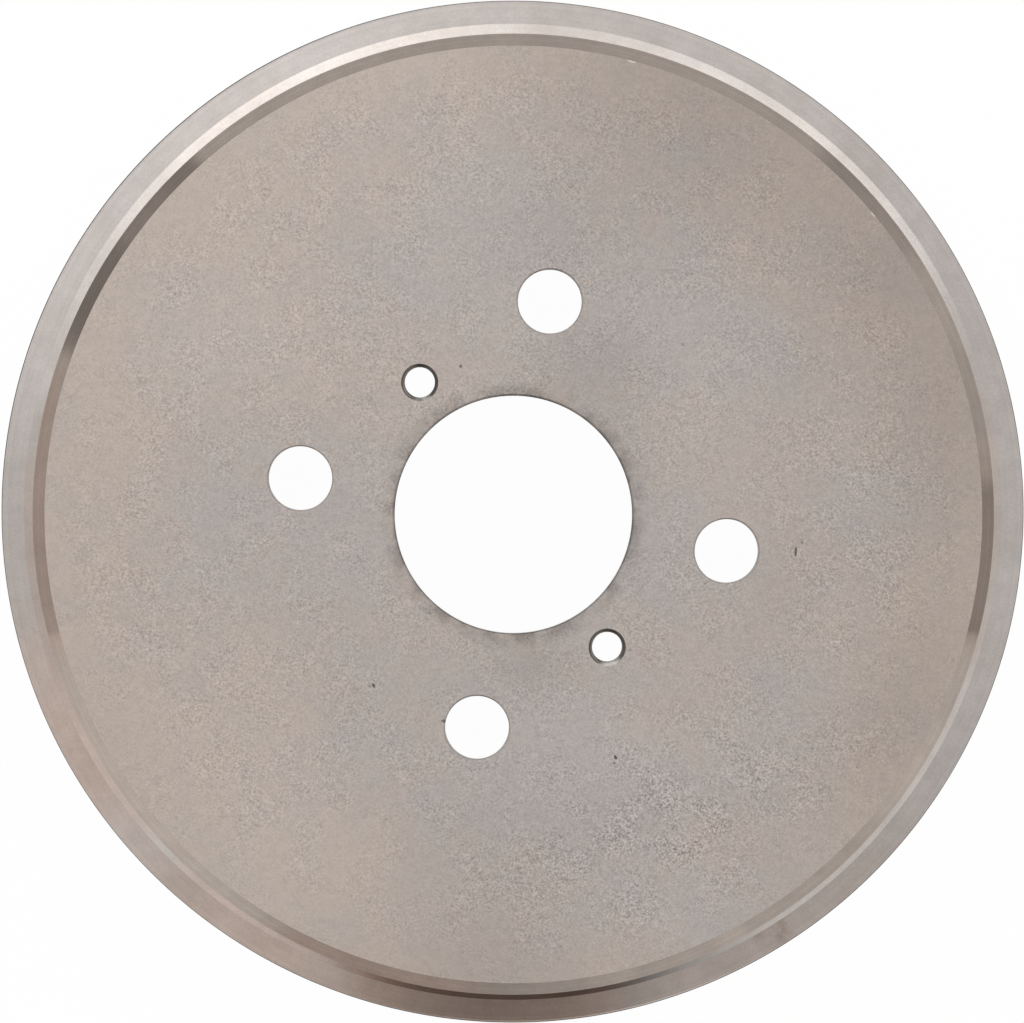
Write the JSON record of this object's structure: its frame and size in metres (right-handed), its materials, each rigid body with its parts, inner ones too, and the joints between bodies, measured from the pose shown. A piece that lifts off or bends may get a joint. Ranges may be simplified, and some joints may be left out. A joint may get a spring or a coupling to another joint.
{
  "type": "brake drum",
  "caption": "Shallow cast-iron rear brake drum: a closed wheel face with a centre bore, bolt holes and threaded jack holes, a friction ring inside and a flange round the open lip.",
  "frame": {"origin": "on the drum's axis, in the plane of the open lip that it rests on", "axes": "+Z along the axis from the open lip to the closed wheel face; +X through the centre of one bolt hole"},
  "size_m": [0.242, 0.242, 0.052],
  "materials": {
    "grey_iron": "shot-blasted wheel face, fine-turned shoulder, wall and flange"
  },
  "bodies": {
    "root": {"brake_drum": "grey_iron"}
  },
  "joints": []
}
